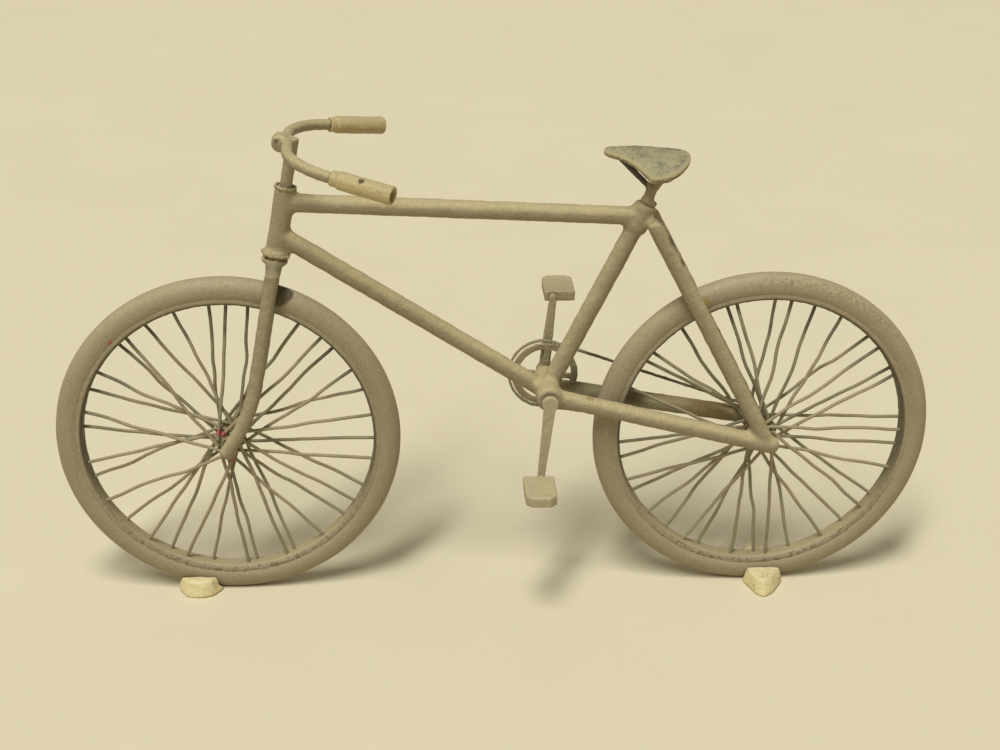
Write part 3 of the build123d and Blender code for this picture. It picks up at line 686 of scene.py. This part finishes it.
for wheel in WHEELS:
    body = wheel["name"] + "_wheel"
    centre = joint_places[wheel["name"] + "_axle_turn"]
    tyre_mesh = grown(wheel["name"] + "_tyre_skin", lumpy_ring, {
        "Ring Radius": (TYRE_R - TYRE_HALF_DEPTH - 0.02) * MM,
        "Section Depth": (TYRE_HALF_DEPTH - 0.03) * MM,
        "Section Width": (TYRE_HALF_W - 0.03) * MM,
        "Steps Round": 360,
        "Steps Across": 32,
        "Lump": 0.12 * MM,
        "Lump Size": 6 * MM,
        "Seed": float(wheel["seed"]),
        "Centre": centre * MM,
        "Rotation": (math.pi / 2, 0, 0),
        "Material": tyre_paint,
    })
    ring_brush_lines(tyre_mesh, centre)
    tyre = placed(wheel["name"] + "_tyre_skin", tyre_mesh, tyre_paint)
    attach(tyre, body)
    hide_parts(wheel["name"] + "_tyre")
    rim = coated(
        wheel["name"] + "_rim_skin", [wheel["name"] + "_rim"],
        rim_paint, voxel=0.3, rounds=3, fill=0, lump=0.06, lump_size=1.5,
    )
    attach(rim, body)
    for side, label in ((1, "left"), (-1, "right")):
        crust_mesh = grown("crust", lumpy_ring, {
            "Ring Radius": (RIM_SEAT_R - 0.1) * MM,
            "Section Depth": 0.72 * MM,
            "Section Width": 0.33 * MM,
            "Steps Round": 480,
            "Steps Across": 12,
            "Lump": 0.35 * MM,
            "Lump Size": 0.9 * MM,
            "Seed": wheel["seed"] + 0.5 * side,
            "Centre": (centre + Vector((0, side * 1.66, 0))) * MM,
            "Rotation": (math.pi / 2, 0, 0),
            "Material": crust_paint,
        })
        ring_brush_lines(crust_mesh, centre)
        crust = placed(wheel["name"] + "_crust_" + label, crust_mesh, crust_paint)
        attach(crust, body)
    spoke_mesh = grown(wheel["name"] + "_spoke_wires", laced_spokes, {
        "Groups": SPOKE_GROUPS,
        "First Angle": math.radians(wheel["first"]),
        "Angle Step": math.radians(8.5),
        "Lean": math.radians(68),
        "Hub Radius": 2.2 * MM,
        "Hub Half Width": 2.4 * MM,
        "Crossing Gap": 0.55 * MM,
        "Rim Radius": 29.6 * MM,
        "Rim Half Width": 0.5 * MM,
        "Wire Radius": 0.36 * MM,
        "Bend": 2.3 * MM,
        "Seed": wheel["seed"],
        "Centre": centre * MM,
        "Material": wire_paint,
    })
    spokes = placed(wheel["name"] + "_spoke_wires", spoke_mesh, wire_paint)
    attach(spokes, body)
    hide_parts(wheel["name"] + "_spokes")
    hub = coated(
        wheel["name"] + "_hub_skin", wheel["hub"],
        hub_paint, voxel=0.16, rounds=3, fill=0, lump=0.12, lump_size=0.8,
    )
    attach(hub, body)

# Paint clots at both ends of the head tube, left where the brush met the gaps
# between the tube, the crown's flange and the stem.
clot_paint = coat_material(
    "clot_paint", coat=tone(176, 163, 122), thin=tone(120, 108, 78), top_light=tone(190, 176, 130),
    top_light_share=0.5, depth=0.1,
)
steering = next(joint for joint in frame["joints"] if joint["name"] == "steering")
lean = Vector(steering["axis"])
head_points = points_of(frame["nodes"]["head_tube"].data) / MM
along_head = (head_points - np.array(joint_places["steering"])) @ np.array(lean)
HEAD_ENDS = [
    {"name": "foot", "along": along_head.min() + 0.65, "radius": 2.5, "depth": 0.35},
    {"name": "top", "along": along_head.max() - 0.1, "radius": 1.95, "depth": 0.25},
]
for end in HEAD_ENDS:
    centre = joint_places["steering"] + lean * end["along"]
    clot_mesh = grown("head_clots_" + end["name"], lumpy_ring, {
        "Ring Radius": end["radius"] * MM,
        "Section Depth": end["depth"] * MM,
        "Section Width": 0.35 * MM,
        "Steps Round": 120,
        "Steps Across": 10,
        "Lump": 1.1 * MM,
        "Lump Size": 0.7 * MM,
        "Seed": end["radius"],
        "Centre": centre * MM,
        "Rotation": (0, math.atan2(lean.x, lean.z), 0),
        "Material": clot_paint,
    })
    clots = placed("head_clots_" + end["name"], clot_mesh, clot_paint)
    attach(clots, "frame")

# Fork. A flanged crown carries two raked blades with rounded tips, brushed
# over as one with a run of paint from crown to blade. The axle is a plain pin
# through the tips, like the rear axle and the crank spindle.
# A darker smear on the crown's upward shoulder is painted shade, toning down the painted top light there.
streak(khaki_paint, (44.0, 3.4, 72.7), (44.2, 3.6, 72.2), 2.1, tone(113, 102, 78), 0.6)
CROWN_RUNS = [((44.2, side * 4.3, 71.0), (43.9, side * 1.6, 73.0), 1.4) for side in (1, -1)]
fork = coated(
    "fork_skin", ["fork_crown", "fork_blade_left", "fork_blade_right"],
    khaki_paint, voxel=0.22, rounds=7, fill=0.45, lump=0.07, lump_size=2.0, runs=CROWN_RUNS,
)
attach(fork, "fork")
pin_paint = coat_material(
    "pin_paint", coat=tone(160, 147, 112), thin=tone(100, 92, 70), top_light=PAINTED_TOP_LIGHT,
    top_light_share=0.3, depth=0.05,
)
for axle in ("front_axle", "rear_axle", "crank_spindle"):
    frame["nodes"][axle].data.materials.clear()
    frame["nodes"][axle].data.materials.append(pin_paint)

# Stem and bar. A plain rod rises through the head tube; its clamp holds one
# bowed bar, painted with it.
# A dark smear at the clamp is painted shade in its crevice.
streak(khaki_paint, (42.6, 1.9, 97.8), (41.3, 3.4, 97.4), 0.5, PAINTED_SHADE, 0.5)
stem = coated(
    "stem_skin", ["stem", "handlebar"],
    khaki_paint, voxel=0.2, rounds=5, fill=0.3, lump=0.06, lump_size=1.4,
)
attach(stem, "fork")

# Grips. Soft sleeves with a stepped collar, open at the rear, in a yellower
# coat of paint.
grip_paint = coat_material(
    "grip_paint", coat=tone(182, 165, 119), thin=tone(168, 151, 107), top_light=tone(191, 175, 126),
    top_light_share=0.7, depth=0.06,
)
spot(grip_paint, (26.0, 22.0, 96.2), 0.6, tone(92, 78, 54))
for side in ("left", "right"):
    grip = coated(
        "grip_" + side + "_skin", ["grip_" + side],
        grip_paint, voxel=0.16, rounds=4, fill=0, lump=0.06, lump_size=1.2,
    )
    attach(grip, "fork")

# Seat. A short post forks into two struts under a thin moulded saddle, whose
# paint is rubbed through to blue-grey in patches on top.
post_paint = coat_material(
    "post_paint", coat=KHAKI, thin=KHAKI_THIN, top_light=PAINTED_TOP_LIGHT,
    top_light_share=0.6, depth=0.05,
)
post_tree = post_paint.node_tree
post_place = axes_of(post_tree, own_place(post_tree))
front_strut = maths(
    post_tree, "MULTIPLY",
    spread(post_tree, post_place["X"], -29.0 * MM, -28.2 * MM),
    spread(post_tree, post_place["Z"], 87.0 * MM, 88.0 * MM),
)
over(post_paint, front_strut, tone(78, 71, 56))
post = coated(
    "seat_post_skin", ["seat_post"],
    post_paint, voxel=0.16, rounds=5, fill=0.3, lump=0.06, lump_size=1.2,
)
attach(post, "frame")
saddle_paint = coat_material(
    "saddle_paint", coat=tone(166, 158, 120), thin=tone(152, 145, 110), top_light=tone(172, 163, 122),
    top_light_share=0.3, depth=0.12,
)
saddle = coated(
    "saddle_skin", ["saddle"],
    saddle_paint, voxel=0.16, rounds=5, fill=0, lump=0.06, lump_size=1.0,
)
saddle_points = points_of(saddle.data) / MM
brink = np.flatnonzero(np.abs(normals_of(saddle.data)[:, 2]) < 0.5)
brink_finder = kdtree.KDTree(len(brink))
for number in brink:
    brink_finder.insert(saddle_points[number], int(number))
brink_finder.balance()
inset = saddle.data.attributes.new("inset", "FLOAT", "POINT")
inset.data.foreach_set("value", [brink_finder.find(point)[2] for point in saddle_points])
saddle_tree = saddle_paint.node_tree
saddle_coords = saddle_tree.nodes.new("ShaderNodeTexCoord").outputs
saddle_place = saddle_coords["Object"]
worn = spread(saddle_tree, mottle(saddle_tree, saddle_place, 3.0, 6.0, 0.8), 0.42, 0.6, 0.0, 0.85)
over(saddle_paint, worn, tone(116, 114, 93))
from_edge = own_attribute(saddle_tree, "inset")["Fac"]
ragged_edge = maths(saddle_tree, "ADD", from_edge, mottle(saddle_tree, saddle_place, 0.9, 4.0, 0.7))
over(saddle_paint, spread(saddle_tree, ragged_edge, 0.8, 1.7, 0.85, 0.0), tone(172, 159, 115))
# Faces turned down are darker: painted shade under the saddle and its skirt.
saddle_facing = axes_of(saddle_tree, saddle_coords["Normal"])["Z"]
over(saddle_paint, spread(saddle_tree, saddle_facing, -0.3, 0.1, 1.0, 0.0), tone(104, 94, 70))
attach(saddle, "frame")

# Drive. Two cranks and a four-armed chainring turn in the bracket, with a thin
# chain strip back to the sprocket and a painted block on each pedal pin.
crank_paint = coat_material(
    "crank_paint", coat=tone(170, 160, 128), thin=tone(160, 150, 118), top_light=tone(192, 178, 135),
    top_light_share=0.8, depth=0.06,
)
for side in ("left", "right"):
    crank = coated(
        "crank_" + side + "_skin", ["crank_" + side],
        crank_paint, voxel=0.14, rounds=4, fill=0, lump=0.06, lump_size=1.2,
    )
    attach(crank, "crankset")
    pedal = coated(
        "pedal_" + side + "_skin", ["pedal_" + side],
        crank_paint, voxel=0.18, rounds=3, fill=0, lump=0.06, lump_size=1.6,
    )
    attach(pedal, "pedal_" + side)
chainring = coated(
    "chainring_skin", ["chainring"],
    khaki_paint, voxel=0.14, rounds=3, fill=0, lump=0.06, lump_size=1.0,
)
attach(chainring, "crankset")
chain_paint = coat_material(
    "chain_paint", coat=tone(112, 102, 78), thin=tone(84, 76, 58), top_light=tone(140, 128, 96),
    top_light_share=0.4, depth=0.05,
)
chain_tree = chain_paint.node_tree
chain_length = axes_of(chain_tree, own_place(chain_tree))["X"]
over(chain_paint, spread(chain_tree, chain_length, -22 * MM, -15 * MM), KHAKI)
chain = coated(
    "chain_skin", ["chain"],
    chain_paint, voxel=0.18, rounds=2, fill=0, lump=0.06, lump_size=1.0,
)
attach(chain, "frame")

# Putty. A pinch of soft cream putty is pressed round the foot of each tyre to
# stop the model rolling and falling.
putty_paint = coat_material(
    "putty", coat=tone(222, 208, 156), thin=tone(214, 200, 148), top_light=tone(226, 213, 164),
    top_light_share=0.4, depth=0.06,
)
putty_tree = putty_paint.node_tree
# Thin dark lines along the folds are painted shade in the creases.
soft_folds = mottle(putty_tree, own_place(putty_tree), 4.0, 1.0)
crease_shade = maths(putty_tree, "ABSOLUTE", maths(putty_tree, "SUBTRACT", soft_folds, 0.5))
over(putty_paint, spread(putty_tree, crease_shade, 0.0, 0.012, 0.5, 0.0), tone(150, 134, 92))
for name, body in (("front", "fork"), ("rear", "frame")):
    lump = coated(
        name + "_putty_lump", [name + "_putty"],
        putty_paint, voxel=0.2, rounds=40, fill=0, lump=0.16, lump_size=3.4,
    )
    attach(lump, body)

# Sheet of cream paper under the model, lit by one long lamp overhead, a little
# to the camera's side and to the left, and by the pale room.
paper = bpy.data.materials.new("paper")
paper.use_nodes = True
paper_tree = paper.node_tree
paper_shader = paper_tree.nodes["Principled BSDF"]
clouds = mottle(paper_tree, own_place(paper_tree), 60.0, 3.0)
paper_tone = mixed(paper_tree, clouds, tone(219, 209, 176), tone(226, 216, 184))
wire_up(paper_tree, paper_tone, paper_shader.inputs["Base Color"])
paper_shader.inputs["Roughness"].default_value = 0.9
paper_shader.inputs["Specular IOR Level"].default_value = 0.1
floor_mesh = bpy.data.meshes.new("floor")
FLOOR_HALF = 20.0
floor_corners = [(x * FLOOR_HALF, y * FLOOR_HALF, 0) for x, y in ((-1, -1), (1, -1), (1, 1), (-1, 1))]
floor_mesh.from_pydata(floor_corners, [], [(0, 1, 2, 3)])
floor = placed("floor", floor_mesh, paper)

world = bpy.data.worlds.new("room")
scene.world = world
world.use_nodes = True
room_light = world.node_tree.nodes["Background"].inputs
room_light["Color"].default_value = (1.0, 0.91, 0.79, 1.0)
room_light["Strength"].default_value = 0.3
LAMP_PLACE = (4.8, 10.8, 20.0)
LAMP_TURN = math.radians(60)
lamp = bpy.data.lights.new("tube_lamp", "AREA")
lamp.shape = "RECTANGLE"
lamp.size = 15.0
lamp.size_y = 4.0
lamp.energy = 5200.0
lamp.color = (0.965, 0.98, 1.0)
tube_lamp = bpy.data.objects.new("tube_lamp", lamp)
tube_lamp.location = LAMP_PLACE
tube_lamp.rotation_euler = (0, 0, LAMP_TURN)
scene.collection.objects.link(tube_lamp)

# Camera, on the model's left side, a little above it and rolled by under a
# degree, with a short telephoto lens.
CAMERA_TARGET = Vector((-0.503, 0, 48.131)) * MM
CAMERA_DISTANCE = 335.5 * MM
CAMERA_AZIMUTH = math.radians(176.669)
CAMERA_ELEVATION = math.radians(24.034)
CAMERA_ROLL = math.radians(0.699)
SENSOR = 36.0
FOCAL_PIXELS = 1650
IMAGE_WIDTH = 1000
back = Vector((
    math.sin(CAMERA_AZIMUTH) * math.cos(CAMERA_ELEVATION),
    -math.cos(CAMERA_AZIMUTH) * math.cos(CAMERA_ELEVATION),
    math.sin(CAMERA_ELEVATION),
))
right = Vector((0, 0, 1)).cross(back).normalized()
up = back.cross(right)
right, up = (
    right * math.cos(CAMERA_ROLL) + up * math.sin(CAMERA_ROLL),
    up * math.cos(CAMERA_ROLL) - right * math.sin(CAMERA_ROLL),
)
camera = bpy.data.objects.new("camera", bpy.data.cameras.new("camera"))
camera.data.sensor_width = SENSOR
camera.data.lens = SENSOR * FOCAL_PIXELS / IMAGE_WIDTH
camera.data.clip_start = 0.01
place = Matrix((right, up, back)).transposed().to_4x4()
place.translation = CAMERA_TARGET + back * CAMERA_DISTANCE
camera.matrix_world = place
scene.collection.objects.link(camera)
scene.camera = camera
